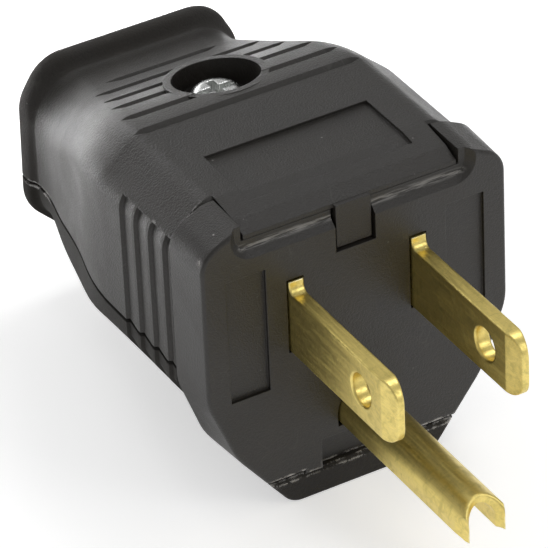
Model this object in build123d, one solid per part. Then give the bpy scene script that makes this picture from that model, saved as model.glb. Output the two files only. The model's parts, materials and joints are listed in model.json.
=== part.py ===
from build123d import *
import os

# Grounded three-prong plug, millimetres.
# While it is drawn, X is to the right seen from the face, Y runs to the rear,
# Z is up, and zero is on the face, midway between the blades.

# Blades and ground pin
blade_pitch = 12.7
blade_wide = 6.35
blade_thick = 1.52
blade_reach = 17.9
blade_hole_d = 3.2
blade_hole_in = 12.3
blade_shoulder = 1.2
shoulder_out = 0.25
blade_root = 0.8
blade_edge = 0.15
blade_hole_edge = 0.22
tip_corner = 2.0
tip_bevel = 0.42
tip_bevel_long = 2.2
pin_wide = 4.75
pin_drop = 11.89
pin_reach = 21.3
pin_sheet = 1.0
pin_skirt = 1.25
pin_notch_r = 1.9
pin_notch_deep = 1.4
pin_bevel = 0.5
pin_bevel_long = 1.6
pin_notch_edge = 0.25
pin_cut = 0.4

# Housing outside
body_wide = 31.6
body_long = 43.4
body_top = 11.5
body_bottom = 20.0
block_deep = 5.7
shoulder_in = 18.0
flat_wide = 23.8
flat_lag = 1.6
flat_drop = 3.3
side_low = 6.9
base_wide = 14.6
neck_wide = 22.4
neck_top = 5.0
neck_bottom = 11.6
neck_flat_wide = 16.4
neck_side_low = 9.2
collar_long = 3.8
collar_rise = 1.2
collar_out = 0.6
collar_full = 1.0
collar_tight = 0.8
wall = 2.2

# Seams and fits
seam = 0.25
part_gap = 0.4
block_gap = 0.18
nose_gap = 0.04
slip = 0.1
slot_gap = 0.12
part_front = 4.9
part_rear = 6.2
part_bend = 8.0
part_fall = 8.0
pad_gap = 0.6
pad_wide = 3.0
pad_short = 1.2
rabbet = 1.0
spigot_long = 2.5
spigot_wall = 1.5

# Face block
block_lean = 0.15
cheek_low = 6.2
waist_half = 13.05
waist_flare = 0.35
waist_drop = 13.0
lip_half = 7.65
front_round = 0.35
ear_wide = 4.6
ear_flat = 12.2
ear_drop = 1.7
tongue_low = 9.85
tongue_in = 0.75
nose_in = 2.4
nose_face = 0.45
nose_drop = 0.5
bevel_fall = 1.65
bevel_side = 1.4
bevel_round = 2.2
bevel_tall = 12.0
tab_wide = 3.6
tab_low = 5.85
tab_in = 0.3
tab_deep = 2.2
lip_tall = 2.85
lip_edge = 0.3
foot_out = 6.1
foot_in = 4.3
pocket_tall = 3.1
pocket_deep = 0.8
slit_tall = 0.42
panel_in = 9.3
panel_wide = 4.0
panel_tall = 13.0
panel_deep = 0.35

# Cover
groove_back = 0.64
groove_pitch = 3.37
groove_count = 6
groove_wide = 0.95
groove_deep = 0.42
groove_run = 1.4
groove_rear_wide = 14.6
rib_back = 1.0
rib_pitch = 2.63
rib_count = 4
rib_rise = 2.0
rib_fall = 0.2
rib_deep = 0.32
rib_low = 0.72
rib_over = 0.3
label_wide = 16.9
label_front = 4.0
label_long = 8.0
label_deep = 0.35
screw_back = 6.7
well_r = 4.18
well_deep = 3.2
rim_wide = 0.75
rim_rise = 0.12
rim_slope = 0.214
boss_r = 3.7

# Screws and terminals
screw_r = 1.75
screw_clear = 3.2
screw_head_r = 2.7
screw_head_tall = 2.0
screw_slot = 0.8
screw_slot_deep = 0.9
screw_cross = 2.8
screw_cross_deep = 1.1
screw_point = 0.6
terminal_r = 2.05
terminal_long = 2.4
terminal_head_r = 3.8
terminal_head_tall = 1.5
terminal_edge = 0.45
terminal_slot = 1.0
terminal_slot_deep = 0.8
terminal_back = 4.3
terminal_up = 0.6
tail_long = 7.5
tail_ear = 2.0
tail_ear_long = 2.4
ground_back = 5.5
ground_tail = 9.3
ground_tail_wide = 7.2
spine_drop = 4.5
spine_past = 0.8
fin_thick = 1.2
keeper_thick = 1.5
keeper_low = 1.5
keeper_lap = 0.3
stop_thick = 1.4
stop_short = 0.6
room_gap = 0.3
room_past = 0.8

# Cord inlet
cord_r = 5.5
neck_long = 4.1
grip_deep = 0.6
grip_wide = 0.8
grip_pitch = 1.7
grip_count = 3
grip_first = 1.2

# Values that follow from the ones above
body_half = body_wide / 2
neck_in = body_long - collar_long
chamber_rear = neck_in - neck_long
cord_up = (neck_top - neck_bottom) / 2
blade_half = blade_wide / 2
spine_half = (blade_pitch - blade_thick) / 2
pin_r = pin_wide / 2
pin_crest = pin_r - pin_drop
lip_top = lip_tall - body_bottom
ear_in = body_half - ear_wide
bend_in = shoulder_in + part_bend
screw_in = shoulder_in + screw_back
groove_first = shoulder_in + groove_back
rib_first = block_deep + rib_back
label_rear = label_front + label_long
terminal_in = block_deep + terminal_back
tail_rear = block_deep + tail_long
ground_screw_in = block_deep + ground_back
tab_rear = block_deep + ground_tail
big = 2 * body_long

# Corner rounding of the section at the front and at the neck
front_corners = [2.4, 2.8, 1.6, 2.2]
neck_corners = [4.6, 5.0, 3.8, 5.0]
block_corners = [3.0, 2.8, 6.0, 8.0, 2.2]

# Taper from the shoulder to the neck: share of its length, then the shares of the
# change in the width, the top, the bottom and the side's lower edge reached there
taper = [
    (0.000, 0.000, 0.000, 0.000, 0.00),
    (0.074, 0.018, 0.009, 0.010, 0.14),
    (0.194, 0.100, 0.077, 0.080, 0.45),
    (0.347, 0.285, 0.220, 0.210, 0.89),
    (0.498, 0.490, 0.430, 0.400, 1.20),
    (0.644, 0.660, 0.630, 0.600, 1.36),
    (0.810, 0.845, 0.846, 0.820, 1.36),
    (1.000, 1.000, 1.000, 1.000, 1.00),
]

# Collar from the neck to the rear: share of its length, then share of its rise
collar = [
    (0.20, 0.02),
    (0.33, 0.16),
    (0.42, 0.56),
    (0.50, 0.90),
    (0.62, 1.04),
    (0.78, 1.02),
    (0.91, 0.84),
    (1.00, 0.52),
]


def box(x0, x1, y0, y1, z0, z1):
    centre = Pos((x0 + x1) / 2, (y0 + y1) / 2, (z0 + z1) / 2)
    return centre * Box(x1 - x0, y1 - y0, z1 - z0)


def rod(start, direction, radius, length):
    base = (Align.CENTER, Align.CENTER, Align.MIN)
    return Plane(origin=start, z_dir=direction) * Cylinder(radius, length, align=base)


def prism_x(points, x0, x1):
    # Outline as (y, z) pairs
    outline = Polyline(*[(x0, y, z) for y, z in points], close=True)
    return extrude(make_face(outline), amount=x1 - x0, dir=(1, 0, 0))


def prism_z(points, z0, z1):
    # Outline as (x, y) pairs
    outline = Polyline(*[(x, y, z0) for x, y in points], close=True)
    return extrude(make_face(outline), amount=z1 - z0, dir=(0, 0, 1))


def both_sides(shape):
    return shape + mirror(shape, about=Plane.YZ)


def blend(a, b, share):
    return a + (b - a) * share


def edges_at(shape, axis, place):
    return shape.edges().filter_by_position(axis, place - 0.01, place + 0.01)


# Face drawn across Y from the right half of its outline and its corner radii
def cross_face(y, right, radii):
    points = right + [(-x, z) for x, z in reversed(right)]
    outline = FilletPolyline(*points, radius=radii + radii[::-1], close=True)
    return Plane.XZ.offset(-y) * make_face(outline)


# Right half of the shells' section, from the top down
def corners(share, grow):
    run, side, crown, low, belly = share
    half = blend(body_half, neck_wide / 2, side)
    flat = blend(flat_wide, neck_flat_wide, side ** flat_lag) / 2 + grow * collar_full
    top = blend(body_top, neck_top, crown)
    base = -blend(body_bottom, neck_bottom, low) - grow * collar_rise
    base_half = base_wide / 2 + 0.3 * run + grow * collar_out
    return [
        (flat, top + grow * collar_rise),
        (half + grow * collar_out * 0.25, top - flat_drop + grow * collar_rise * 0.4),
        (half + grow * collar_out, -blend(side_low, neck_side_low, belly)),
        (base_half, base),
    ]


def inset(right, depth):
    # Moves each side of the outline inwards by the depth
    points = right + [(-x, z) for x, z in reversed(right)]
    lines = []
    for a, b in zip(points, points[1:] + points[:1]):
        dx = b[0] - a[0]
        dz = b[1] - a[1]
        size = (dx * dx + dz * dz) ** 0.5
        lines.append((a[0] + dz / size * depth, a[1] - dx / size * depth, dx, dz))
    moved = []
    for p, q in zip(lines[-1:] + lines[:-1], lines):
        cross = p[2] * q[3] - p[3] * q[2]
        step = ((q[0] - p[0]) * q[3] - (q[1] - p[1]) * q[2]) / cross
        moved.append((p[0] + p[2] * step, p[1] + p[3] * step))
    return moved[:len(right)]


def section(y, share, depth=0.0, grow=0.0):
    radii = [blend(a, b, share[0]) for a, b in zip(front_corners, neck_corners)]
    radii = [max(0.35, r - depth * 0.7 - grow * collar_tight) for r in radii]
    return cross_face(y, inset(corners(share, grow), depth), radii)


def front_prism(y0, y1, depth=0.0):
    return extrude(section(y0, taper[0], depth), amount=y1 - y0, dir=(0, 1, 0))


def taper_y(share):
    return blend(shoulder_in, neck_in, share[0])


def reached(y, column):
    # Share of a change that is reached at a distance from the face
    run = (y - shoulder_in) / (neck_in - shoulder_in)
    if run <= 0:
        return 0.0
    for a, b in zip(taper, taper[1:]):
        if run <= b[0]:
            return blend(a[column], b[column], (run - a[0]) / (b[0] - a[0]))
    return 1.0


def crown_at(y):
    return blend(body_top, neck_top, reached(y, 2))


def floor_at(y):
    return wall - blend(body_bottom, neck_bottom, reached(y, 3))


# Whole outside of the two shells, from behind the face block to the collar
def shell_outside():
    front = block_deep + block_gap
    body = front_prism(front, shoulder_in)
    body = chamfer(edges_at(body, Axis.Y, front), seam)
    rings = [section(taper_y(s), s) for s in taper]
    for run, grow in collar:
        rings.append(section(neck_in + run * collar_long, taper[-1], 0.0, grow))
    return body + loft(rings)


# Inside of the shells, drawn in by a depth from the outside
def shell_inside(depth):
    core = front_prism(block_deep - 1.0, shoulder_in, depth)
    shares = [s for s in taper[::2] if taper_y(s) < chamber_rear - 2]
    run = (chamber_rear - shoulder_in) / (neck_in - shoulder_in)
    rear = tuple([run] + [reached(chamber_rear, i) for i in range(1, 5)])
    return core + loft([section(taper_y(s), s, depth) for s in shares + [rear]])


# Everything above the parting between the shells, lifted or lowered
def above(lift):
    front = lift - part_front
    rear = lift - part_rear
    bend_rear = bend_in + part_fall
    low = [(-5, front), (bend_in, front), (bend_rear, rear), (big, rear)]
    return prism_x(low + [(big, big), (-5, big)], -body_wide, body_wide)


# Vertical grip grooves that follow the outline of the sides
def rib_grooves():
    cuts = None
    for i in range(rib_count):
        y = rib_first + i * rib_pitch
        front = y - rib_rise
        rear = y + rib_fall
        keep = loft([section(front, taper[0]), section(y, taper[0], rib_deep)], ruled=True)
        keep += loft([section(y, taper[0], rib_deep), section(rear, taper[0])], ruled=True)
        cut = box(-body_wide, body_wide, front, rear, -big, big) - keep
        cuts = cut if cuts is None else cuts + cut
    low = blend(-side_low, -body_bottom, rib_low)
    high = body_top - flat_drop + rib_over
    return cuts & both_sides(box(base_wide / 2, body_wide, 0, shoulder_in, low, high))


# Shallow groove across the top, which runs out at the edges of the flat
def top_groove(y, half):
    surface = crown_at(y)
    flat = half - groove_run
    ends = []
    for x, lift in ((-half, groove_deep), (-flat, 0), (flat, 0), (half, groove_deep)):
        low = surface - groove_deep + lift
        high = low + 2 * groove_deep
        outline = Polyline((x, y, low), (x, y + groove_wide, high), (x, y - groove_wide, high), close=True)
        ends.append(make_face(outline))
    return loft(ends, ruled=True)


# Hole for the cord through the neck and the collar, with grip grooves
def cord_hole():
    hole = rod((0, chamber_rear - 2, cord_up), (0, 1, 0), cord_r, big)
    for i in range(grip_count):
        y = chamber_rear + grip_first + i * grip_pitch
        hole += rod((0, y, cord_up), (0, 1, 0), cord_r + grip_deep, grip_wide)
    return hole


# Block at the face, with a slight draft from its rear to its front
def face_block():
    rear = [
        (ear_flat, body_top),
        (body_half, body_top - ear_drop),
        (body_half, -cheek_low),
        (waist_half, -waist_drop),
        (lip_half, -body_bottom),
    ]
    front = [(x - block_lean, z - block_lean if z > 0 else z) for x, z in rear]
    rear[3] = (waist_half + waist_flare, -waist_drop)
    ends = [cross_face(0, front, block_corners), cross_face(block_deep, rear, block_corners)]
    block = loft(ends, ruled=True)
    rim = edges_at(block, Axis.Y, 0).sort_by(Axis.Z)[1:]
    return fillet(rim, front_round)


outside = shell_outside()
chamber = shell_inside(wall)
half_wall = shell_inside(wall / 2)
tongue_wall = shell_inside(wall / 2 + slip)
ribs = rib_grooves()
cord_bore = cord_hole()
block = face_block()


# Screw well with a raised rim that follows the slope of the top
def screw_well():
    top = crown_at(screw_in)
    rim_r = well_r + rim_wide
    reach = 2 * rim_r
    post = rod((0, screw_in, -part_front), (0, 0, 1), boss_r, part_front + top - wall)
    well = rod((0, screw_in, top - well_deep - wall), (0, 0, 1), rim_r, big)
    front = (screw_in - reach, top + rim_rise + rim_slope * reach)
    rear = (screw_in + reach, top + rim_rise - rim_slope * reach)
    under = prism_x([front, rear, (rear[0], -big), (front[0], -big)], -reach, reach)
    hole = rod((0, screw_in, top - well_deep), (0, 0, 1), well_r, big)
    hole += rod((0, screw_in, -big), (0, 0, 1), screw_r + slip, 2 * big)
    return post + (well & under), hole


# Tongue of the cover that lies between the ears of the face block, with its hook tab
def cover_tongue():
    half = ear_in - seam
    nose = [(tongue_in, tongue_low), (tongue_in, tongue_low + nose_face), (nose_in, body_top - nose_drop)]
    nose += [(block_deep, body_top), (block_deep + 1.5, body_top), (block_deep + 1.5, tongue_low)]
    tongue = prism_x(nose, -half, half)
    return tongue + box(-tab_wide / 2, tab_wide / 2, tab_in, tab_deep, tab_low, tongue_low + 0.4)


# Shallow recess in the top that carries a label on such plugs
def label_recess():
    slope = nose_drop / (block_deep - nose_in)
    front = body_top - (block_deep - label_front) * slope - label_deep
    floor = body_top - label_deep
    recess = [(label_front, front), (block_deep, floor), (label_rear, floor)]
    recess += [(label_rear, big), (label_front, big)]
    return prism_x(recess, -label_wide / 2, label_wide / 2)


def top_cover():
    shape = (outside - chamber) & above(0)
    shape -= half_wall - above(rabbet)
    shape -= ribs
    for i in range(groove_count):
        y = groove_first + i * groove_pitch
        half = blend(flat_wide, groove_rear_wide, reached(y, 1)) / 2
        if i == groove_count - 1:
            half = groove_rear_wide * 0.4
        shape -= top_groove(y, half + 0.2)
    boss, hole = screw_well()
    shape += boss
    shape -= hole
    shape += cover_tongue()
    shape -= label_recess()
    # Ribs that hold the blades' tails from behind
    keeper_in = spine_half + keeper_lap
    keeper_out = spine_half + blade_thick - slip
    keeper_rear = tail_rear + keeper_thick
    keeper = box(keeper_in, keeper_out, tail_rear, keeper_rear, keeper_low, body_top - wall / 2)
    shape += both_sides(keeper)
    return shape - cord_bore


def bottom_shell():
    shape = (outside - chamber) - above(-part_gap)
    # Tongue of the rabbet joint round the edge
    tongue = (tongue_wall - chamber) & above(-part_gap - seam) & box(-big, big, block_deep, big, -big, big)
    shape += tongue - above(rabbet)
    # Pads that meet the cover beside the cord
    pad_in = cord_r + grip_deep + pad_gap
    pad_out = pad_in + pad_wide
    pad = box(pad_in, pad_out, chamber_rear, body_long - pad_short, -part_rear - 1, -part_rear)
    shape += both_sides(pad)
    shape -= ribs
    # Lip under the face block
    lip = block & box(-big, big, -1, block_deep, -big, lip_top)
    slant = [(-1, lip_top - lip_edge - 1), (-1, lip_top + 1), (lip_edge + 1, lip_top + 1)]
    lip -= prism_x(slant, -body_wide, body_wide)
    lip += front_prism(1, block_deep + 1) & box(-big, big, 0, big, -big, wall - body_bottom - 0.05)
    shape += lip
    # Boss for the cover screw
    floor = floor_at(screw_in)
    shape += rod((0, screw_in, floor - 0.5), (0, 0, 1), boss_r, 0.5 - floor - part_front)
    shape -= rod((0, screw_in, floor + screw_clear - 0.5), (0, 0, 1), screw_r, big)
    # Stop behind the ground pin's tail
    stop_half = ground_tail_wide / 2 - stop_short
    stop_rear = tab_rear + stop_thick
    stop_top = pin_crest - slip
    shape += box(-stop_half, stop_half, tab_rear, stop_rear, wall / 2 - body_bottom, stop_top)
    return shape - cord_bore


def face_body():
    plate = chamfer(edges_at(block, Axis.Y, block_deep), seam)
    plate &= box(-big, big, -1, block_deep, lip_top, big)
    # Gap between the ears for the cover's tongue, and the bevel in front of it
    plate -= box(-ear_in, ear_in, -1, block_deep + 1, tongue_low - nose_gap, big)
    bevel_half = ear_in + bevel_side
    bevel_up = tongue_low - bevel_fall + bevel_tall / 2
    bevel = Pos(0, bevel_up) * RectangleRounded(2 * bevel_half, bevel_tall, bevel_round)
    plate -= extrude(Plane.XZ * bevel, amount=tongue_in, dir=(0, 1, 0), taper=45)
    # Notch for the cover's hook tab
    notch_half = tab_wide / 2 + seam
    plate -= box(-notch_half, notch_half, -1, tab_deep, tab_low - seam, big)
    # Bare label panels beside the blades
    panel = box(panel_in, panel_in + panel_wide, -1, panel_deep, -panel_tall / 2, panel_tall / 2)
    plate -= both_sides(panel)
    # Open pockets over the bottom lip, with a foot left each side of the middle one
    plate -= box(-foot_in, foot_in, -1, pocket_deep, lip_top - 1, lip_top + pocket_tall)
    plate -= both_sides(box(foot_out, body_half, -1, pocket_deep, lip_top - 1, lip_top + slit_tall))
    # Spigot inside the shells
    ring_out = wall + slip
    ring = front_prism(block_deep, block_deep + spigot_long, ring_out)
    plate += ring - front_prism(block_deep - 1, big, ring_out + spigot_wall)
    # Spine between the blades, with fins that part the three terminals
    rear = tail_rear + spine_past
    spine = box(-spine_half, spine_half, block_deep - 0.5, rear, pin_crest, body_top - spine_drop)
    fin_up = (pin_crest - blade_half - tail_ear) / 2
    fin_low = fin_up - fin_thick / 2
    fin = box(spine_half - 0.5, ear_in, block_deep - 0.5, rear, fin_low, fin_low + fin_thick)
    plate += spine + both_sides(fin)
    # Slots for the blades and the pin
    centre = blade_pitch / 2
    slot_half = blade_thick / 2 + slot_gap
    slot_low = -blade_half - slot_gap
    slot_top = blade_half + blade_shoulder + slot_gap
    slot = box(spine_half, centre + slot_half, -1, block_deep + 0.01, slot_low, slot_top)
    slot += box(centre - slot_half, centre, -1, 1.5, slot_low, slot_top)
    plate -= both_sides(slot)
    side = pin_r + slot_gap
    hole = rod((0, -1, -pin_drop), (0, 1, 0), side, block_deep + 1.01)
    hole &= box(-big, big, -2, big, -pin_drop, 0)
    hole += box(-side, side, -1, block_deep + 0.01, -pin_drop - pin_skirt - slot_gap, -pin_drop)
    plate -= hole
    # Room for the ends of the terminal screws
    room_r = terminal_r + room_gap
    room = terminal_long + room_past
    plate -= both_sides(rod((spine_half - room, terminal_in, terminal_up), (1, 0, 0), room_r, room + 0.1))
    plate -= rod((0, ground_screw_in, pin_crest - 1), (0, 0, 1), room_r, room + 1)
    return plate


def blade(sign):
    tip = -blade_reach
    rear_top = blade_half + blade_shoulder
    ear_rear = block_deep + tail_ear_long
    outline = [
        (tip, blade_half),
        (tip, -blade_half),
        (block_deep, -blade_half),
        (block_deep, -blade_half - tail_ear),
        (ear_rear, -blade_half - tail_ear),
        (ear_rear, -blade_half),
        (tail_rear, -blade_half),
        (tail_rear, rear_top),
        (-shoulder_out, rear_top),
        (-shoulder_out, blade_half),
    ]
    inner = spine_half
    outer = spine_half + blade_thick
    shape = prism_x(outline, inner, outer)
    shape = fillet(edges_at(shape, Axis.Y, tip).filter_by(Axis.X), tip_corner)
    root = edges_at(shape, Axis.Y, -shoulder_out).filter_by(Axis.X).sort_by(Axis.Z)[0]
    shape = fillet(root, blade_root)
    # Lead-in bevels on the two flat faces of the tip
    start = tip + tip_bevel_long
    end = tip - 1
    fall = tip_bevel + tip_bevel / tip_bevel_long
    outer_cut = [(outer, start), (outer - fall, end), (outer + 2, end), (outer + 2, start)]
    inner_cut = [(inner, start), (inner + fall, end), (inner - 2, end), (inner - 2, start)]
    shape -= prism_z(outer_cut, -blade_wide, blade_wide)
    shape -= prism_z(inner_cut, -blade_wide, blade_wide)
    # Soft edges outside the face
    front = shape.edges().filter_by_position(Axis.Y, tip - 1, 0.05 - shoulder_out)
    soft = [e for e in front if e.length > 2 * blade_edge and abs(e.tangent_at(0.5).X) < 0.6]
    shape = fillet(soft, blade_edge)
    # Hole near the tip with rolled rims, and hole for the terminal screw
    shape -= rod((inner - 1, -blade_hole_in, 0), (1, 0, 0), blade_hole_d / 2, blade_thick + 2)
    rims = shape.edges().filter_by(GeomType.CIRCLE)
    shape = fillet([e for e in rims if abs(e.radius - blade_hole_d / 2) < 0.01], blade_hole_edge)
    shape -= rod((inner - 1, terminal_in, terminal_up), (1, 0, 0), terminal_r, blade_thick + 2)
    if sign < 0:
        shape = mirror(shape, about=Plane.YZ)
    return shape


# Ground pin folded from sheet, open below, with a flat tail for the ground wire
def ground_pin():
    low = -pin_drop - pin_skirt
    inner_r = pin_r - pin_sheet
    tip = -pin_reach
    long = pin_reach + block_deep + 1.2
    sides = [(-pin_r, -pin_drop), (-pin_r, low + pin_cut), (-pin_r + pin_cut, low), (pin_r - pin_cut, low)]
    sides += [(pin_r, low + pin_cut), (pin_r, -pin_drop)]
    profile = Pos(0, -pin_drop) * Circle(pin_r) + make_face(Polyline(*sides, close=True))
    profile -= Pos(0, low - 5) * Rectangle(20, 10)
    profile -= Pos(0, -pin_drop) * Circle(inner_r)
    profile -= Pos(0, -pin_drop - 5) * Rectangle(2 * inner_r, 10)
    shape = extrude(Plane.XZ.offset(pin_reach) * profile, amount=long, dir=(0, 1, 0))
    # Rounded notch in the arch at the tip, and lead-in bevels on the two walls
    shape -= rod((0, tip - pin_notch_r + pin_notch_deep, -big), (0, 0, 1), pin_notch_r, 2 * big)
    start = tip + pin_bevel_long
    end = tip - 1
    fall = pin_bevel + pin_bevel / pin_bevel_long
    side = [(pin_r, start), (pin_r - fall, end), (pin_r + 2, end), (pin_r + 2, start)]
    shape -= both_sides(prism_z(side, -big, 0))
    front = shape.edges().filter_by_position(Axis.Y, tip - 1, tip + pin_notch_r)
    shape = fillet(front.filter_by(GeomType.BSPLINE), pin_notch_edge)
    half = ground_tail_wide / 2
    shape += box(-half, half, block_deep, tab_rear, pin_crest - pin_sheet, pin_crest)
    return shape - rod((0, ground_screw_in, -big), (0, 0, 1), terminal_r, 2 * big)


# Binding-head screw along Z, with its seat at zero and the head pointing down
def terminal_screw(long):
    head = rod((0, 0, 0), (0, 0, -1), terminal_head_r, terminal_head_tall)
    head = chamfer(head.edges().group_by(Axis.Z)[0], terminal_edge)
    shape = head + rod((0, 0, 0), (0, 0, 1), terminal_r, long)
    half = terminal_slot / 2
    top = -terminal_head_tall
    return shape - box(-big, big, -half, half, top - 1, top + terminal_slot_deep)


def cover_screw():
    seat = crown_at(screw_in) - well_deep
    top = seat + screw_head_tall
    long = seat - floor_at(screw_in) - screw_clear
    head = rod((0, screw_in, seat), (0, 0, 1), screw_head_r, screw_head_tall)
    head = fillet(head.edges().group_by(Axis.Z)[-1], screw_head_tall * 0.7)
    shank = rod((0, screw_in, seat), (0, 0, -1), screw_r, long)
    shank = chamfer(shank.edges().group_by(Axis.Z)[0], screw_point)
    half = screw_slot / 2
    arm = screw_cross / 2
    slot = box(-big, big, screw_in - half, screw_in + half, top - screw_slot_deep, top + 1)
    cross = box(-half, half, screw_in - arm, screw_in + arm, top - screw_cross_deep, top + 1)
    return head + shank - slot - cross


def place(shape):
    # Moves the origin to the middle of the bottom of the whole plug
    return Pos(0, (pin_reach - body_long) / 2, body_bottom) * shape


seat_x = spine_half + blade_thick
side_screw = terminal_screw(blade_thick + terminal_long)
ground_screw = terminal_screw(pin_sheet + terminal_long)
nodes = {
    "face_body": face_body(),
    "top_cover": top_cover(),
    "bottom_shell": bottom_shell(),
    "hot_blade": blade(-1),
    "neutral_blade": blade(1),
    "ground_pin": ground_pin(),
    "hot_terminal_screw": Pos(-seat_x, terminal_in, terminal_up) * Rot(0, 90, 0) * side_screw,
    "neutral_terminal_screw": Pos(seat_x, terminal_in, terminal_up) * Rot(0, -90, 0) * side_screw,
    "ground_terminal_screw": Pos(0, ground_screw_in, pin_crest - pin_sheet) * ground_screw,
    "cover_screw": cover_screw(),
}

os.makedirs("parts", exist_ok=True)
for name, shape in nodes.items():
    export_step(place(shape), "parts/" + name + ".step")
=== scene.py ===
# %% [markdown]
# # A grounded three-prong plug
# The real plug is two black nylon shells and a face block round three brass contacts, held by one sunk screw.
# Its solids are already made, so this lesson keeps them where they are and gives them their finishes:
# satin moulded plastic, brushed brass and plated screws, with the threads that the plain shanks still lack.
# Loading the solids first fixes the size and the place of everything. The box that they fill is kept; its middle is
# where the lamps aim.

# %% Load the solids and keep their box
import json
import math

import bpy
from mathutils import Matrix, Vector


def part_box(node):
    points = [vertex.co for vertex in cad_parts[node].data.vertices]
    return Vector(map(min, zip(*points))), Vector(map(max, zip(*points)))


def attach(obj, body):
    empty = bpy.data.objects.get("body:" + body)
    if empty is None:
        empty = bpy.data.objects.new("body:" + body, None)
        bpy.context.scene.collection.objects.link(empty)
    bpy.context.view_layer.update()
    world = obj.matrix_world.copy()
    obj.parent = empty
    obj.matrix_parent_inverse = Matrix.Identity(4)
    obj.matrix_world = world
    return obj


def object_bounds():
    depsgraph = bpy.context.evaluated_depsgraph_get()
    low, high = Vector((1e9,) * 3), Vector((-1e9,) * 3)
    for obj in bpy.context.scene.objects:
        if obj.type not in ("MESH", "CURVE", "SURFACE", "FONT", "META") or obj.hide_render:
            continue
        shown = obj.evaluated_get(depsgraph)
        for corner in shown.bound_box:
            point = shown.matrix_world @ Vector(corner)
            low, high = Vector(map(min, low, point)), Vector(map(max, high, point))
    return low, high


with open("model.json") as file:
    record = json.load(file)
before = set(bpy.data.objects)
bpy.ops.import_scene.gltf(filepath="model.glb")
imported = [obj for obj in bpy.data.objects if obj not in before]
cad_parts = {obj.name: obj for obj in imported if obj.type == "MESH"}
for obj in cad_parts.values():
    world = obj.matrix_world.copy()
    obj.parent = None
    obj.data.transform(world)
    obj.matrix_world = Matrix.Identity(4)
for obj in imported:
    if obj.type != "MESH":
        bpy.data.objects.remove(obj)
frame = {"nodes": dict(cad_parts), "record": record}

MM = 0.001
solid_box = [list(corner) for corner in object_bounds()]
nodes = frame["nodes"]


def in_mm(point):
    """The numbers of a point in millimetres, rounded for printing."""
    return [round(value / MM, 2) for value in point]


print("solids:", sorted(nodes))
print("box in mm:", [in_mm(corner) for corner in solid_box])

# %% [markdown]
# ## Where the pieces are
# The camera looks at the face, and the wear, the painted glints and highlights and the finishes change from place to
# place, so some places are needed in numbers. They could all be typed in, but starting from the solids' own boxes
# keeps most of them right if the plug changes. The middle of the face comes from the record, where the place of the
# blades is a named mount.

# %% Measure the places that the finishes need
EAR_IN, EAR_BACK, EAR_DOWN = 2.3 * MM, 8.1 * MM, 1.4 * MM
# near-white spots: worn plastic at the ear corner, partly a painted glint at the slit, a painted highlight at the
# collar seam
SLIT_FRAYS_AND_GLINTS = ((-7.2 * MM, 3.1 * MM), (-1.6 * MM, 2.5 * MM), (8.1 * MM, 2.8 * MM))
SEAM_ACROSS, SEAM_IN, SEAM_UP = -11.3 * MM, 3.3 * MM, 12.4 * MM
COLLAR_LONG = 2.9 * MM
NOSE_BACK, NOSE_DOWN = 0.77 * MM, 2.47 * MM
mounts = {row["name"]: row for row in frame["record"]["mounts"]}
face_middle = Vector(mounts["outlet_blades"]["pos_m"])
face_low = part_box("face_body")[0]
cover_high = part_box("top_cover")[1]
ear_corner = Vector((face_low.x + EAR_IN, face_middle.y + EAR_BACK, cover_high.z - EAR_DOWN))
slit_frays_and_glints = [Vector((across, face_middle.y, up)) for across, up in SLIT_FRAYS_AND_GLINTS]
collar_seam_glint = Vector((SEAM_ACROSS, cover_high.y - SEAM_IN, SEAM_UP))
collar_start = cover_high.y - COLLAR_LONG
nose_line = Vector((0.0, face_middle.y + NOSE_BACK, cover_high.z - NOSE_DOWN))
print("face middle in mm:", in_mm(face_middle))
print("worn ear corner in mm:", in_mm(ear_corner))

# %% [markdown]
# ## Helpers for node trees
# A material or a Geometry Nodes tree is a set of nodes and wires. Built by hand, each node takes several clicks.
# A few small functions do that here, so that each recipe below stays short enough to read.

# %% Functions that add nodes, wires and groups


def add_node(tree, kind, inputs=None, **settings):
    """Adds a node, sets its own settings and then the values of its input sockets."""
    node = tree.nodes.new(kind)
    for name, value in settings.items():
        setattr(node, name, value)
    for name, value in (inputs or {}).items():
        node.inputs[name].default_value = value
    return node


def wire(tree, start, end):
    """Joins an output socket to an input socket."""
    tree.links.new(start, end)


def new_group(name, kind, sockets):
    """An empty node group with the named sockets: (name, IN or OUT, type, value)."""
    group = bpy.data.node_groups.new(name, kind)
    for label, side, socket_type, value in sockets:
        socket = group.interface.new_socket(
            name=label, in_out=side + "PUT", socket_type="NodeSocket" + socket_type)
        if value is not None:
            socket.default_value = value
    start = group.nodes.new("NodeGroupInput")
    end = group.nodes.new("NodeGroupOutput")
    return group, start.outputs, end.inputs


def feed(tree, value, socket):
    """Gives a socket either another socket's value or a number."""
    if isinstance(value, bpy.types.NodeSocket):
        wire(tree, value, socket)
    elif value is not None:
        socket.default_value = value


print("node helpers ready")

# %% [markdown]
# ## Helpers for masks and colours
# A finish is mostly masks: numbers from 0 to 1 over the surface that say how much of an effect there is. Three steps
# come back all the time: sums on masks, a soft rise or fall between two limits, and a mix of two colours by a mask.

# %% Functions for sums, soft limits and colour mixes


def calc(tree, operation, first, second=None):
    """A Math node on two sockets or numbers, as its output socket."""
    node = add_node(tree, "ShaderNodeMath", operation=operation)
    feed(tree, first, node.inputs[0])
    feed(tree, second, node.inputs[1])
    return node.outputs["Value"]


def times(tree, first, second):
    """The product of two sockets or numbers."""
    return calc(tree, "MULTIPLY", first, second)


def spread(tree, value, low, high, to_low, to_high):
    """A Map Range node that takes low..high to to_low..to_high, smoothly and clamped."""
    limits = {"From Min": low, "From Max": high, "To Min": to_low, "To Max": to_high}
    node = add_node(tree, "ShaderNodeMapRange", limits, interpolation_type="SMOOTHSTEP")
    wire(tree, value, node.inputs["Value"])
    return node.outputs["Result"]


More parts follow.
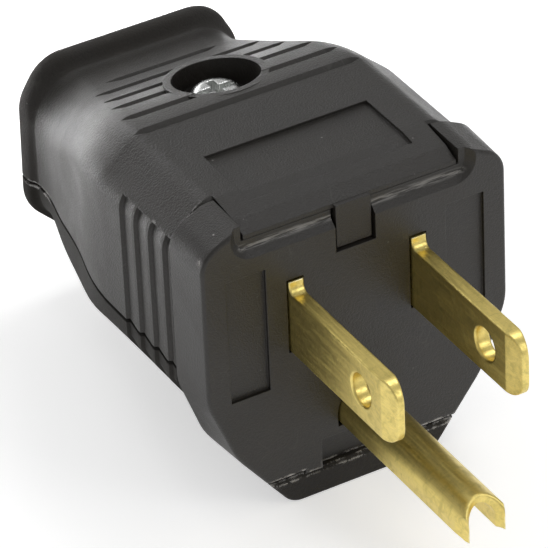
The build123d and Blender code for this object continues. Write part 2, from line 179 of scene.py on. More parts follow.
def rising(tree, value, low, high):
    """A mask that is 0 up to low and 1 from high on."""
    return spread(tree, value, low, high, 0.0, 1.0)


def falling(tree, value, low, high):
    """A mask that is 1 up to low and 0 from high on."""
    return spread(tree, value, low, high, 1.0, 0.0)


def tint(tree, mask, first, second):
    """A colour mix from first to second by a mask; each is a colour or a socket."""
    node = add_node(tree, "ShaderNodeMix", data_type="RGBA")
    wire(tree, mask, node.inputs["Factor"])
    colour_inputs = [socket for socket in node.inputs if socket.type == "RGBA"]
    for socket, value in zip(colour_inputs, (first, second)):
        feed(tree, value if isinstance(value, bpy.types.NodeSocket) else (*value, 1.0), socket)
    return [socket for socket in node.outputs if socket.type == "RGBA"][0]


print("mask helpers ready")

# %% [markdown]
# ## Moulded grain
# The mould of a nylon shell is often spark-eroded, which leaves a fine grain of about a fifth of a millimetre and,
# where the melt cooled unevenly, broad patches of slightly different gloss. An image could hold that, but noise on
# Object coordinates has no seams and stays the same size on every piece. All three plastics use it, so it is a
# group.

# %% Group: moulded grain
grain_group, grain_in, grain_out = new_group("moulded grain", "ShaderNodeTree", [
    ("Vector", "IN", "Vector", None),
    ("Grain Scale", "IN", "Float", 4500.0),
    ("Mottle Scale", "IN", "Float", 160.0),
    ("Grain", "OUT", "Float", None),
    ("Mottle", "OUT", "Float", None),
])
fine = add_node(grain_group, "ShaderNodeTexNoise", {"Detail": 2.0, "Roughness": 0.6})
broad = add_node(grain_group, "ShaderNodeTexNoise", {"Detail": 4.0, "Roughness": 0.6, "Distortion": 0.4})
for texture, scale, output in ((fine, "Grain Scale", "Grain"), (broad, "Mottle Scale", "Mottle")):
    wire(grain_group, grain_in["Vector"], texture.inputs["Vector"])
    wire(grain_group, grain_in[scale], texture.inputs["Scale"])
    wire(grain_group, rising(grain_group, texture.outputs["Fac"], 0.3, 0.7), grain_out[output])
print("group:", grain_group.name, "with", len(grain_group.nodes), "nodes")

# %% [markdown]
# ## Rounded edges, their wear and painted edge highlights
# No moulded or stamped edge is truly sharp: it has a tiny radius that catches a line of light, and it is the first
# place to wear. The large radii are in the solids. For the tiny ones, the Bevel node rounds the shading within
# a radius, and where that turned normal differs from the true one there is an edge. That makes a mask for wear on
# the plastic, and for the painted highlight along the metals' edges and the painted glints.

# %% Group: rounded edges
edge_group, edge_in, edge_out = new_group("rounded edges", "ShaderNodeTree", [
    ("Vector", "IN", "Vector", None),
    ("Radius", "IN", "Float", 0.12 * MM),
    ("Normal", "OUT", "Vector", None),
    ("Edge", "OUT", "Float", None),
])
rounding = add_node(edge_group, "ShaderNodeBevel", samples=6)
wire(edge_group, edge_in["Radius"], rounding.inputs["Radius"])
surface = add_node(edge_group, "ShaderNodeNewGeometry")
alike = add_node(edge_group, "ShaderNodeVectorMath", operation="DOT_PRODUCT")
wire(edge_group, rounding.outputs["Normal"], alike.inputs[0])
wire(edge_group, surface.outputs["Normal"], alike.inputs[1])
turned = calc(edge_group, "SUBTRACT", 1.0, alike.outputs["Value"])
patchy = add_node(edge_group, "ShaderNodeTexNoise", {"Scale": 700.0, "Detail": 4.0, "Roughness": 0.65})
wire(edge_group, edge_in["Vector"], patchy.inputs["Vector"])
edge_breakup = spread(edge_group, patchy.outputs["Fac"], 0.38, 0.62, 0.15, 1.0)
edge_mask = times(edge_group, rising(edge_group, turned, 0.01, 0.18), edge_breakup)
wire(edge_group, rounding.outputs["Normal"], edge_out["Normal"])
wire(edge_group, edge_mask, edge_out["Edge"])
print("group:", edge_group.name, "with", len(edge_group.nodes), "nodes")

# %% [markdown]
# ## Handling marks
# A plug is pushed, pulled and dropped, so its plastic carries hair-fine scratches in patches. Single strokes could
# be drawn one by one; the thin band where a stretched noise crosses its middle value gives many at once, and a
# second, broad noise keeps them to some places.

# %% Group: handling marks
mark_group, mark_in, mark_out = new_group("handling marks", "ShaderNodeTree", [
    ("Vector", "IN", "Vector", None),
    ("Scale", "IN", "Float", 260.0),
    ("Marks", "OUT", "Float", None),
])
HAIR_TURNS, HAIR_STRETCH, HAIR_WIDTH = (35.0, -62.0), (1.0, 0.08, 1.0), 0.006
strokes = []
for turn in HAIR_TURNS:
    lay = add_node(mark_group, "ShaderNodeMapping", {
        "Rotation": (math.radians(turn), math.radians(turn / 2), math.radians(turn)),
        "Scale": HAIR_STRETCH,
    })
    wire(mark_group, mark_in["Vector"], lay.inputs["Vector"])
    hairs = add_node(mark_group, "ShaderNodeTexNoise", {"Detail": 1.0, "Roughness": 0.4})
    wire(mark_group, lay.outputs["Vector"], hairs.inputs["Vector"])
    wire(mark_group, mark_in["Scale"], hairs.inputs["Scale"])
    off_middle = calc(mark_group, "ABSOLUTE", calc(mark_group, "SUBTRACT", hairs.outputs["Fac"], 0.5))
    strokes.append(falling(mark_group, off_middle, 0.0, HAIR_WIDTH))
patch = add_node(mark_group, "ShaderNodeTexNoise", {"Scale": 190.0, "Detail": 2.0})
wire(mark_group, mark_in["Vector"], patch.inputs["Vector"])
where = rising(mark_group, patch.outputs["Fac"], 0.52, 0.66)
wire(mark_group, times(mark_group, calc(mark_group, "MAXIMUM", *strokes), where), mark_out["Marks"])
print("group:", mark_group.name, "with", len(mark_group.nodes), "nodes")

# %% [markdown]
# ## Scuffed places and painted glints
# One ear has been knocked, and the edges there are worn ragged and nearly white. At the slit under the ground pin
# the near-white edges are partly burred plastic and partly a painted glint, and at a spot on the collar seam a
# painted highlight. Such marks could be painted in an image, but a mask that fades with the distance from a point
# needs no picture. Broken up by noise, it tells the edge mask where the plastic is made pale.

# %% Group: spot of scuffs and painted glints
scuff_and_glint_group, scuff_and_glint_in, scuff_and_glint_out = new_group("scuff and glint spot", "ShaderNodeTree", [
    ("Vector", "IN", "Vector", None),
    ("Middle", "IN", "Vector", tuple(ear_corner)),
    ("Reach", "IN", "Float", 3.4 * MM),
    ("Scuff And Glint", "OUT", "Float", None),
])
away = add_node(scuff_and_glint_group, "ShaderNodeVectorMath", operation="DISTANCE")
wire(scuff_and_glint_group, scuff_and_glint_in["Vector"], away.inputs[0])
wire(scuff_and_glint_group, scuff_and_glint_in["Middle"], away.inputs[1])
share = calc(scuff_and_glint_group, "DIVIDE", away.outputs["Value"], scuff_and_glint_in["Reach"])
spot_breakup = add_node(scuff_and_glint_group, "ShaderNodeTexNoise", {"Scale": 1300.0, "Detail": 5.0, "Roughness": 0.7})
wire(scuff_and_glint_group, scuff_and_glint_in["Vector"], spot_breakup.inputs["Vector"])
spot_broken_up = rising(scuff_and_glint_group, spot_breakup.outputs["Fac"], 0.44, 0.54)
wire(scuff_and_glint_group, times(scuff_and_glint_group, falling(scuff_and_glint_group, share, 0.35, 1.0), spot_broken_up), scuff_and_glint_out["Scuff And Glint"])
print("group:", scuff_and_glint_group.name, "with", len(scuff_and_glint_group.nodes), "nodes")

# %% [markdown]
# ## Dust
# Black plastic shows every grain of dust, most of it on faces that look up. A cell pattern gives one speck to a
# cell, a random number per cell drops most of them, and the height of the normal thins them out on the sides.

# %% Group: dust
dust_group, dust_in, dust_out = new_group("dust", "ShaderNodeTree", [
    ("Vector", "IN", "Vector", None),
    ("Scale", "IN", "Float", 900.0),
    ("Dust", "OUT", "Float", None),
])
EMPTY_CELLS = 0.93
cells = add_node(dust_group, "ShaderNodeTexVoronoi", {"Randomness": 1.0})
wire(dust_group, dust_in["Vector"], cells.inputs["Vector"])
wire(dust_group, dust_in["Scale"], cells.inputs["Scale"])
speck = falling(dust_group, cells.outputs["Distance"], 0.04, 0.12)
lot = add_node(dust_group, "ShaderNodeSeparateColor")
wire(dust_group, cells.outputs["Color"], lot.inputs["Color"])
few = calc(dust_group, "GREATER_THAN", lot.outputs["Red"], EMPTY_CELLS)
facing = add_node(dust_group, "ShaderNodeNewGeometry")
height = add_node(dust_group, "ShaderNodeSeparateXYZ")
wire(dust_group, facing.outputs["Normal"], height.inputs["Vector"])
upward = spread(dust_group, height.outputs["Z"], 0.1, 0.7, 0.25, 1.0)
wire(dust_group, times(dust_group, times(dust_group, speck, few), upward), dust_out["Dust"])
print("group:", dust_group.name, "with", len(dust_group.nodes), "nodes")

# %% [markdown]
# ## An empty finish
# Every finish starts alike: a material with its shader and with Object coordinates, which run on from face to face
# without a seam, the groups above placed in it with values of its own, and a fine bump on top of the rounded
# edges. Three functions save that from being written out seven times.

# %% Functions that start a finish


def place_group(tree, group, vector, **values):
    """A shader group in a material, reading the given coordinates."""
    node = add_node(tree, "ShaderNodeGroup", node_tree=group)
    wire(tree, vector, node.inputs["Vector"])
    for name, value in values.items():
        node.inputs[name.replace("_", " ")].default_value = value
    return node.outputs


def new_material(name):
    """A material with its tree, its shader and the Object coordinates."""
    material = bpy.data.materials.new(name)
    material.use_nodes = True
    tree = material.node_tree
    shader = tree.nodes["Principled BSDF"]
    place = add_node(tree, "ShaderNodeTexCoord").outputs["Object"]
    return material, tree, shader, place


def bump_grain(tree, shader, height, smooth_normal, strength, depth):
    """A bump of the given depth on top of the rounded edges."""
    relief = add_node(tree, "ShaderNodeBump", {"Strength": strength, "Distance": depth})
    wire(tree, height, relief.inputs["Height"])
    wire(tree, smooth_normal, relief.inputs["Normal"])
    wire(tree, relief.outputs["Normal"], shader.inputs["Normal"])


print("finish helpers ready")

# %% [markdown]
# ## Pale streaks and a painted highlight
# Under the cover's nose the face block has a line of pale streaks: partly scuffing from the nose, partly a painted
# highlight along the bevel there. Only the face has them, so this is a plain function and not a group. A Mapping
# node that squeezes X to nothing turns the distance from a point into the distance from a line, and a stretched
# noise gives the streaks.

# %% Function: pale streaks with a painted highlight
STREAK_STRETCH = (0.08, 1.0, 1.0)
STREAK_FULL, STREAK_END = 0.08 * MM, 0.50 * MM


def pale_streaks_and_highlight(tree, place, line):
    """A mask of fine streaks that run along X, close to a line through the given point."""
    across = add_node(tree, "ShaderNodeMapping", {"Location": -line, "Scale": (0.0, 1.0, 1.0)})
    wire(tree, place, across.inputs["Vector"])
    off_line = add_node(tree, "ShaderNodeVectorMath", operation="LENGTH")
    wire(tree, across.outputs["Vector"], off_line.inputs[0])
    drawn = add_node(tree, "ShaderNodeMapping", {"Scale": STREAK_STRETCH})
    wire(tree, place, drawn.inputs["Vector"])
    streak = add_node(tree, "ShaderNodeTexNoise", {"Scale": 5200.0, "Detail": 3.0, "Roughness": 0.6})
    wire(tree, drawn.outputs["Vector"], streak.inputs["Vector"])
    near = falling(tree, off_line.outputs["Value"], STREAK_FULL, STREAK_END)
    return times(tree, near, rising(tree, streak.outputs["Fac"], 0.40, 0.60))


print("streaks lie along the line at", in_mm(nose_line), "mm")

# %% [markdown]
# ## Wear and painted glints on the plastic
# Two kinds of marks are put together from the groups: light wear, where edges and scratches have gone grey, and
# near-white edges only near the chosen places: worn plastic at the ear, partly a painted glint at the slit and a
# painted highlight at the collar seam. A wider edge mask is used for the near-white ones, because a ragged edge or a
# glint is broader than a worn one.

# %% Function: the wear and painted-glint masks of a plastic
FRAY_AND_GLINT_EDGE = 0.45 * MM
EDGE_SHARE = 0.5


def plastic_wear_and_glints(tree, place, edges):
    """The masks of light wear and of near-white edges, partly worn plastic and partly painted glints."""
    marks = place_group(tree, mark_group, place)
    scuff_and_glint = 0.0
    for middle in (ear_corner, *slit_frays_and_glints, collar_seam_glint):
        scuff_and_glint = calc(tree, "MAXIMUM", place_group(tree, scuff_and_glint_group, place, Middle=middle)["Scuff And Glint"], scuff_and_glint)
    worn = calc(tree, "MAXIMUM", times(tree, edges["Edge"], EDGE_SHARE), marks["Marks"])
    broad_edge = place_group(tree, edge_group, place, Radius=FRAY_AND_GLINT_EDGE)["Edge"]
    # near-white edges near the chosen spots: worn plastic at the ear, partly a painted glint at the slit and a
    # painted highlight at the collar seam
    frayed_and_glint = times(tree, scuff_and_glint, rising(tree, broad_edge, 0.01, 0.14))
    return worn, frayed_and_glint


print("frayed edges reach", round(FRAY_AND_GLINT_EDGE / MM, 2), "mm")

# %% [markdown]
# ## Satin black plastic
# The shells and the face are the same nylon from three moulds: the face is the smoothest and the lower shell the
# dullest, and the collar round the cord is coarse like the lower shell. One function makes all three: the mottle
# moves colour and gloss a little, the grain is a bump, and the layers of wear, painted glints and highlight streaks
# and dust lie on top, one after the other. Numbers that are the same all over go straight on the shader.

# %% Function: a moulded plastic
BLACK_DARK, BLACK_PALE = (0.0145, 0.0125, 0.0102), (0.0225, 0.0196, 0.0163)
GRAIN_BROWN, WORN_GREY, FRAY_AND_GLINT_WHITE = (0.034, 0.030, 0.026), (0.085, 0.08, 0.074), (0.80, 0.78, 0.75)
STREAK_AND_HIGHLIGHT_GREY, DUST_GREY = (0.25, 0.24, 0.225), (0.42, 0.41, 0.39)
WEAR_DULLER, DUST_DULLER, COLLAR_DULLER = 0.12, 0.3, 0.4
COLLAR_BLEND = 0.2 * MM
GRAIN_BUMP = 0.8
NYLON_IOR = 1.48


def moulded_plastic(name, bright, dull, bump, grain_scale, matt_from=None, streak_and_highlight_line=None):
    """Black nylon of roughness bright..dull with a grain of depth bump, coarser behind matt_from, in metres."""
    material, tree, shader, place = new_material(name)
    grain = place_group(tree, grain_group, place, Grain_Scale=grain_scale)
    edges = place_group(tree, edge_group, place)
    dust = place_group(tree, dust_group, place)["Dust"]
    worn, frayed_and_glint = plastic_wear_and_glints(tree, place, edges)
    # the near-white layer is worn plastic at the ear and a painted glint at the slit and the collar seam
    layers = [(grain["Grain"], 0.3, GRAIN_BROWN), (worn, 0.35, WORN_GREY), (frayed_and_glint, 0.9, FRAY_AND_GLINT_WHITE)]
    if streak_and_highlight_line is not None:
        # pale streaks under the nose: partly scuffing, partly a painted highlight along the bevel
        layers.append((pale_streaks_and_highlight(tree, place, streak_and_highlight_line), 1.0, STREAK_AND_HIGHLIGHT_GREY))
    layers.append((dust, 0.55, DUST_GREY))
    colour = tint(tree, grain["Mottle"], BLACK_DARK, BLACK_PALE)
    for mask, strength, layer_colour in layers:
        colour = tint(tree, times(tree, mask, strength), colour, layer_colour)
    wire(tree, colour, shader.inputs["Base Color"])
    gloss = spread(tree, grain["Mottle"], 0.0, 1.0, bright, dull)
    gloss = calc(tree, "ADD", gloss, times(tree, calc(tree, "MAXIMUM", worn, frayed_and_glint), WEAR_DULLER))
    gloss = calc(tree, "ADD", gloss, times(tree, dust, DUST_DULLER))
    if matt_from is not None:
        parts = add_node(tree, "ShaderNodeSeparateXYZ")
        wire(tree, place, parts.inputs["Vector"])
        start, end = matt_from - COLLAR_BLEND, matt_from + COLLAR_BLEND
        gloss = calc(tree, "ADD", gloss, spread(tree, parts.outputs["Y"], start, end, 0.0, COLLAR_DULLER))
    wire(tree, gloss, shader.inputs["Roughness"])
    bump_grain(tree, shader, grain["Grain"], edges["Normal"], GRAIN_BUMP, bump)
    shader.inputs["IOR"].default_value = NYLON_IOR
    return material


housing_plastic = moulded_plastic("satin_housing", 0.38, 0.46, 0.030 * MM, 5200.0, collar_start)
lower_plastic = moulded_plastic("satin_lower", 0.74, 0.82, 0.030 * MM, 5200.0, collar_start)
face_plastic = moulded_plastic("satin_face", 0.36, 0.44, 0.024 * MM, 6200.0, streak_and_highlight_line=nose_line)
print("made", housing_plastic.name, lower_plastic.name, "and", face_plastic.name)

# %% [markdown]
# ## Brushed metal
# The contacts are stamped from rolled strip and brushed along their length, and the screws are turned. Both leave
# fine parallel lines. Stretching a noise along one axis gives them, and a second noise gives stains from handling.

# %% Group: brushed metal
ALONG_BLADE, ROUND_X, ROUND_Z = (1.0, 0.03, 1.0), (0.05, 1.0, 1.0), (1.0, 1.0, 0.05)
brush_group, brush_in, brush_out = new_group("brushed metal", "ShaderNodeTree", [
    ("Vector", "IN", "Vector", None),
    ("Stretch", "IN", "Vector", ALONG_BLADE),
    ("Lines Scale", "IN", "Float", 7000.0),
    ("Stain Scale", "IN", "Float", 1000.0),
    ("Lines", "OUT", "Float", None),
    ("Stain", "OUT", "Float", None),
])
stretched = add_node(brush_group, "ShaderNodeVectorMath", operation="MULTIPLY")
wire(brush_group, brush_in["Vector"], stretched.inputs[0])
wire(brush_group, brush_in["Stretch"], stretched.inputs[1])
lines = add_node(brush_group, "ShaderNodeTexNoise", {"Detail": 3.0, "Roughness": 0.7})
wire(brush_group, stretched.outputs["Vector"], lines.inputs["Vector"])
wire(brush_group, brush_in["Lines Scale"], lines.inputs["Scale"])
stain = add_node(brush_group, "ShaderNodeTexNoise", {"Detail": 6.0, "Roughness": 0.7, "Distortion": 0.5})
wire(brush_group, brush_in["Vector"], stain.inputs["Vector"])
wire(brush_group, brush_in["Stain Scale"], stain.inputs["Scale"])
wire(brush_group, rising(brush_group, lines.outputs["Fac"], 0.3, 0.7), brush_out["Lines"])
wire(brush_group, rising(brush_group, stain.outputs["Fac"], 0.42, 0.68), brush_out["Stain"])
print("group:", brush_group.name, "with", len(brush_group.nodes), "nodes")

# %% [markdown]
# ## Brass, zinc and the green coat
# The blades and the ground pin are olive-yellow brass, darker where fingers have stained it. Their edges are tinted
# brighter: partly wear from the outlet's contacts, partly a painted highlight along the rims. The screws are brass,
# zinc plate and, for the ground, steel under a green coat. A metal's colour is its reflection, so the base colour
# carries the hue and the metallic value stays at one.

# %% Function: a metal
METAL_EDGE = 0.20 * MM
LINE_SHADE, LINE_BUMP, LINE_DEPTH = 0.86, 0.35, 0.006 * MM
STAIN_DULLER = 0.08


def metal(name, clean, stained, stain_share, rough_low, rough_high, stretch, edge_wear_and_highlight):
    """Brushed metal with stains, and edges tinted bright: partly wear, partly a painted highlight."""
    material, tree, shader, place = new_material(name)
    brush = place_group(tree, brush_group, place, Stretch=stretch)
    edges = place_group(tree, edge_group, place, Radius=METAL_EDGE)
    colour = tint(tree, brush["Lines"], [LINE_SHADE * part for part in clean], clean)
    colour = tint(tree, times(tree, brush["Stain"], stain_share), colour, stained)
    # painted highlight: the edge mask tints the rims bright, partly also standing for wear
    colour = tint(tree, rising(tree, edges["Edge"], 0.0, 0.45), colour, edge_wear_and_highlight)
    wire(tree, colour, shader.inputs["Base Color"])
    gloss = spread(tree, brush["Lines"], 0.0, 1.0, rough_low, rough_high)
    gloss = calc(tree, "ADD", gloss, times(tree, brush["Stain"], STAIN_DULLER))
    wire(tree, gloss, shader.inputs["Roughness"])
    bump_grain(tree, shader, brush["Lines"], edges["Normal"], LINE_BUMP, LINE_DEPTH)
    shader.inputs["Metallic"].default_value = 1.0
    return material


blade_brass = metal(
    "brushed_brass", (0.87, 0.70, 0.23), (0.36, 0.31, 0.09), 0.42, 0.31, 0.41, ALONG_BLADE, (1.0, 0.93, 0.60))
screw_brass = metal(
    "turned_brass", (0.80, 0.60, 0.22), (0.52, 0.37, 0.12), 0.4, 0.24, 0.36, ROUND_X, (0.90, 0.76, 0.40))
screw_zinc = metal(
    "zinc_plate", (0.78, 0.79, 0.78), (0.55, 0.55, 0.53), 0.4, 0.20, 0.32, ROUND_Z, (0.90, 0.91, 0.90))
screw_green = metal(
    "green_coat", (0.05, 0.26, 0.10), (0.03, 0.17, 0.07), 0.5, 0.28, 0.42, ROUND_Z, (0.30, 0.42, 0.30))
print("made", [material.name for material in (blade_brass, screw_brass, screw_zinc, screw_green)])

# %% [markdown]
# ## Dressing the solids
# Each solid already says in the record which finish it has. Reading that list, rather than naming the solids here,
# means that a solid can't be forgotten. Only the lower shell is named, because it shares a slot with the cover and
# comes from the coarser mould.

# %% Give each solid its finish
finishes = {
    "housing_plastic": housing_plastic,
    "face_plastic": face_plastic,
    "blade_brass": blade_brass,
    "screw_brass": screw_brass,
    "screw_zinc": screw_zinc,
    "screw_green": screw_green,
}
slots = {row["node"]: row["material_slot"] for row in frame["record"]["subparts"]}
for name, slot in slots.items():
    mesh = nodes[name].data
    mesh.materials.clear()
    mesh.materials.append(lower_plastic if name == "bottom_shell" else finishes[slot])
print("dressed", len(slots), "solids")

# %% [markdown]
# ## Screw threads
# The solids of the terminal screws have plain shanks. A real thread is rolled: one V-shaped ridge wound round and
# round. It repeats the same turn, so a Geometry Nodes tree suits it: a spiral carries a small square profile that
# stands on its corner, and its inputs are the numbers that a screw is sold by. Only the free end of each shank
# gets its ridge, because the rest sits in the tapped hole of a contact.

# %% Geometry Nodes: a thread from its sizes
thread_tree, thread_in, thread_out = new_group("screw thread", "GeometryNodeTree", [
    ("Geometry", "OUT", "Geometry", None),
    ("Radius", "IN", "Float", 2.0 * MM),
    ("Length", "IN", "Float", 2.0 * MM),
    ("Turns", "IN", "Float", 3.0),
    ("Ridge", "IN", "Float", 0.18 * MM),
    ("Material", "IN", "Material", None),
])
thread_tree.is_modifier = True
path = add_node(thread_tree, "GeometryNodeCurveSpiral", {"Resolution": 48})
spiral_sizes = (("Turns", "Rotations"), ("Radius", "Start Radius"), ("Radius", "End Radius"), ("Length", "Height"))
for ours, theirs in spiral_sizes:
    wire(thread_tree, thread_in[ours], path.inputs[theirs])
upright = add_node(thread_tree, "GeometryNodeSetCurveNormal", mode="Z_UP")
wire(thread_tree, path.outputs["Curve"], upright.inputs["Curve"])
profile = add_node(thread_tree, "GeometryNodeCurvePrimitiveCircle", {"Resolution": 4})
wire(thread_tree, thread_in["Ridge"], profile.inputs["Radius"])
sweep = add_node(thread_tree, "GeometryNodeCurveToMesh", {"Fill Caps": True})
wire(thread_tree, upright.outputs["Curve"], sweep.inputs["Curve"])
wire(thread_tree, profile.outputs["Curve"], sweep.inputs["Profile Curve"])
real = add_node(thread_tree, "GeometryNodeRealizeInstances")
wire(thread_tree, sweep.outputs["Mesh"], real.inputs["Geometry"])
paint = add_node(thread_tree, "GeometryNodeSetMaterial")
wire(thread_tree, real.outputs["Geometry"], paint.inputs["Geometry"])
wire(thread_tree, thread_in["Material"], paint.inputs["Material"])
wire(thread_tree, paint.outputs["Geometry"], thread_out["Geometry"])
print("tree:", thread_tree.name, "with", len(thread_tree.nodes), "nodes")

# %% [markdown]
# ## A thread for each terminal screw
# The screws of the two blades lie across the plug and that of the ground pin stands upright. The end of each shank
# and its radius are measured from the solid, so the ridge fits without any number being typed twice. The tree makes
# its thread at the origin, and the finished mesh is then turned and shifted, which leaves the object itself there.

# %% Wind the threads
THREAD_START, THREAD_PITCH, THREAD_TURNS = 0.35 * MM, 0.70 * MM, 2.5
THREAD_LONG = THREAD_TURNS * THREAD_PITCH
THREAD_RIDGE = 0.17 * MM
sockets = {row.name: row.identifier for row in thread_tree.interface.items_tree if row.in_out == "INPUT"}


def wind_thread(screw, way):
    """A thread on the free end of a screw whose shank points along way."""
    solid = nodes[screw]
    way = Vector(way)
    low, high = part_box(screw)
    points = [solid.matrix_world @ vertex.co - (low + high) / 2 for vertex in solid.data.vertices]
    reach = max(point.dot(way) for point in points)
    near_end = [point for point in points if point.dot(way) > reach - THREAD_LONG]
    radius = max((point - point.dot(way) * way).length for point in near_end)
    piece = bpy.data.objects.new(screw + "_thread", bpy.data.meshes.new("start"))
    bpy.context.scene.collection.objects.link(piece)
    modifier = piece.modifiers.new("thread", "NODES")
    modifier.node_group = thread_tree
    sizes = {"Radius": radius, "Length": THREAD_LONG, "Turns": THREAD_TURNS, "Ridge": THREAD_RIDGE}
    for label, value in sizes.items():
        modifier[sockets[label]] = value
    modifier[sockets["Material"]] = finishes[slots[screw]]
    wound = bpy.data.meshes.new_from_object(piece.evaluated_get(bpy.context.evaluated_depsgraph_get()))
    piece.modifiers.clear()
    end = (low + high) / 2 + (reach - THREAD_START) * way
    wound.transform(Matrix.Translation(end) @ (-way).to_track_quat("Z", "Y").to_matrix().to_4x4())
    piece.data = wound
    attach(piece, "root")
    print(piece.name, "radius", round(radius / MM, 2), "mm,", len(wound.polygons), "faces")


wind_thread("hot_terminal_screw", (1, 0, 0))
wind_thread("neutral_terminal_screw", (-1, 0, 0))
wind_thread("ground_terminal_screw", (0, 0, 1))

# %% [markdown]
# ## The floor
# The plug lies on a plain white sheet that fills the picture. The floor is an ordinary white diffuse surface, so it
# takes the plug's soft shadow, with a little light of its own for rays from the camera and from mirrors, which is
# what lifts paper to white in a studio picture. For mirrors that light fades close to the plug, a painted shade in
# the floor's reflection that stands for the plug's contact shadow, so that the belly mirrors shade.

# %% The floor's sheet
FLOOR_HALF, FLOOR_DROP = 3.0, 0.02 * MM
sheet_corners = [(x * FLOOR_HALF, y * FLOOR_HALF, -FLOOR_DROP) for x, y in ((-1, -1), (1, -1), (1, 1), (-1, 1))]
floor_mesh = bpy.data.meshes.new("floor")
floor_mesh.from_pydata(sheet_corners, [], [(0, 1, 2, 3)])
floor = bpy.data.objects.new("floor", floor_mesh)
bpy.context.scene.collection.objects.link(floor)
print("floor", 2 * FLOOR_HALF, "m wide")

# %% [markdown]
# ## White paper
# The paper's own light could be the same for every ray, but then the plug would be lit by it too. The Light Path
# node tells the rays apart, so only the camera and mirrors see the lift. The painted shade for mirrors is a mask on
# the paper: the distance past the plug's sides or past the ends of a stretch round its rear, faded over a short way.

# %% The floor's finish
PAPER_WHITE = (0.86, 0.86, 0.86, 1.0)
FLOOR_GLOW = 0.50
SHADE_PATCH_IN, SHADE_PATCH_HALF, SHADE_PATCH_FADE = 8.0 * MM, 18.0 * MM, 14.0 * MM
paper = bpy.data.materials.new("white_paper")
paper.use_nodes = True
tree = paper.node_tree
tree.nodes.clear()
rays = add_node(tree, "ShaderNodeLightPath").outputs
mirrored = calc(tree, "MAXIMUM", rays["Is Glossy Ray"], rays["Is Transmission Ray"])
spot = add_node(tree, "ShaderNodeSeparateXYZ")
wire(tree, add_node(tree, "ShaderNodeTexCoord").outputs["Object"], spot.inputs["Vector"])
# painted shade: for mirror rays the floor's glow fades near the plug, standing for its contact shadow
shade_patch_middle = cover_high.y - SHADE_PATCH_IN
past_side = calc(tree, "SUBTRACT", calc(tree, "ABSOLUTE", spot.outputs["X"]), cover_high.x)
along_shade_patch = calc(tree, "ABSOLUTE", calc(tree, "SUBTRACT", spot.outputs["Y"], shade_patch_middle))
past_end = calc(tree, "SUBTRACT", along_shade_patch, SHADE_PATCH_HALF)
clear = rising(tree, calc(tree, "MAXIMUM", past_side, past_end), 0.0, SHADE_PATCH_FADE)
lift = calc(tree, "MAXIMUM", rays["Is Camera Ray"], times(tree, mirrored, clear))
white = add_node(tree, "ShaderNodeBsdfDiffuse", {"Color": PAPER_WHITE})
glow = add_node(tree, "ShaderNodeEmission")
wire(tree, times(tree, lift, FLOOR_GLOW), glow.inputs["Strength"])
both = add_node(tree, "ShaderNodeAddShader")
wire(tree, white.outputs["BSDF"], both.inputs[0])
wire(tree, glow.outputs["Emission"], both.inputs[1])
wire(tree, both.outputs["Shader"], add_node(tree, "ShaderNodeOutputMaterial").inputs["Surface"])
floor_mesh.materials.append(paper)
print("paper with", len(tree.nodes), "nodes")

# %% [markdown]
# ## The light
# Product pictures on white are made in a light tent: the walls glow evenly, and a few lamps give the form. An even
# world is the tent. One lamp lights only the paper behind the plug, which the tapered flank mirrors at a low angle
# as a bright sheen. A low lamp behind and a small one above it draw the rear and the ridge between top and side.
# Soft lamps above and in front open the shadows and put light on the brass edges.

# %% World and lamps
TENT_LIGHT = 0.47
TENT_WHITE = (1.0, 1.0, 1.0, 1.0)
world = bpy.data.worlds.new("light_tent")
bpy.context.scene.world = world
world.use_nodes = True
world.node_tree.nodes["Background"].inputs["Color"].default_value = TENT_WHITE
world.node_tree.nodes["Background"].inputs["Strength"].default_value = TENT_LIGHT


def softbox(name, place, target, size, power, cone=180.0):
    """A square area lamp at place that looks at target; its light stays within the cone, in degrees."""
    lamp = bpy.data.lights.new(name, "AREA")
    lamp.size = size
    lamp.energy = power
    lamp.spread = math.radians(cone)
    holder = bpy.data.objects.new(name, lamp)
    holder.location = place
    holder.rotation_euler = (Vector(target) - Vector(place)).to_track_quat("-Z", "Y").to_euler()
    bpy.context.scene.collection.objects.link(holder)
    print(name, "of", power, "W")


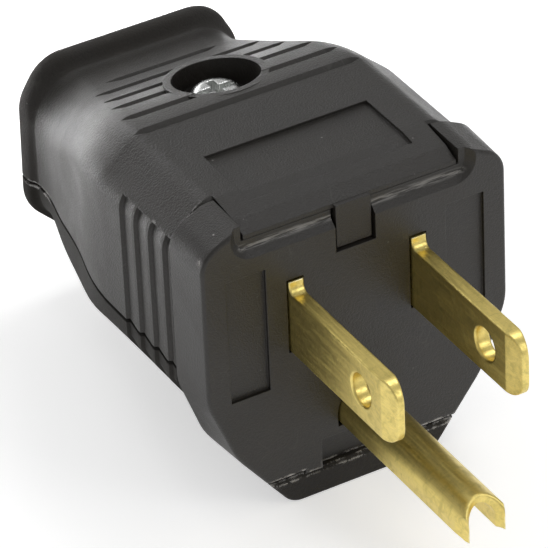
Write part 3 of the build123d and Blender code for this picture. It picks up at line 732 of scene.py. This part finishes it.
plug_middle = (Vector(solid_box[0]) + Vector(solid_box[1])) / 2
softbox("backdrop_lamp", (-0.02, 0.22, 0.35), (-0.02, 0.22, 0.0), 0.22, 1.0, 30.0)
softbox("rear_softbox", (-0.02, 0.62, 0.11), plug_middle, 0.42, 1.4)
softbox("ridge_lamp", (-0.06, 0.55, 0.56), plug_middle, 0.12, 0.24)
softbox("top_softbox", (0.26, 0.15, 0.56), plug_middle, 0.20, 0.55)
softbox("front_softbox", (0.36, -0.60, 0.50), plug_middle, 0.30, 1.0)

# %% [markdown]
# ## The camera
# The picture was taken from the left of the blades and well above them, through a long lens. The direction, the
# distance and the lens are given as a photographer would: a turn round the plug, a height angle, a slight roll,
# and how far the middle of the face lies from the middle of the picture.

# %% Where the camera looks
TURN, RISE, ROLL = math.radians(-29.87), math.radians(34.75), math.radians(1.98)
FOCAL_PIXELS = 5013.0
FACE_RIGHT, FACE_DOWN = 84.05, 23.39
back = Vector((math.sin(TURN) * math.cos(RISE), -math.cos(TURN) * math.cos(RISE), math.sin(RISE)))
level_right = Vector((0, 0, 1)).cross(back).normalized()
level_up = back.cross(level_right)
right = math.cos(ROLL) * level_right - math.sin(ROLL) * level_up
up = math.cos(ROLL) * level_up + math.sin(ROLL) * level_right
axis = (back + (FACE_RIGHT * right - FACE_DOWN * up) / FOCAL_PIXELS).normalized()
side = up.cross(axis).normalized()
turned_to = Matrix((side, axis.cross(side), axis)).transposed().to_4x4()
print("camera looks back along", [round(value, 3) for value in axis])

# %% [markdown]
# ## The lens and the picture
# A lens is sold by its focal length against a film width, and a picture is measured in pixels, so one is worked out
# from the other. The view transform is Standard, which shows a colour about as it is written.

# %% Camera
PICTURE, FILM_WIDTH = 548, 36.0
DISTANCE, NEAREST = 0.4473, 0.01
camera_data = bpy.data.cameras.new("camera")
camera_data.sensor_width = FILM_WIDTH
camera_data.lens = FOCAL_PIXELS * FILM_WIDTH / PICTURE
camera_data.clip_start = NEAREST
camera = bpy.data.objects.new("camera", camera_data)
camera.matrix_world = Matrix.Translation(face_middle + DISTANCE * back) @ turned_to
bpy.context.scene.collection.objects.link(camera)
bpy.context.scene.camera = camera
bpy.context.scene.view_settings.view_transform = "Standard"
print("lens", round(camera_data.lens, 1), "mm at", round(DISTANCE, 3), "m")
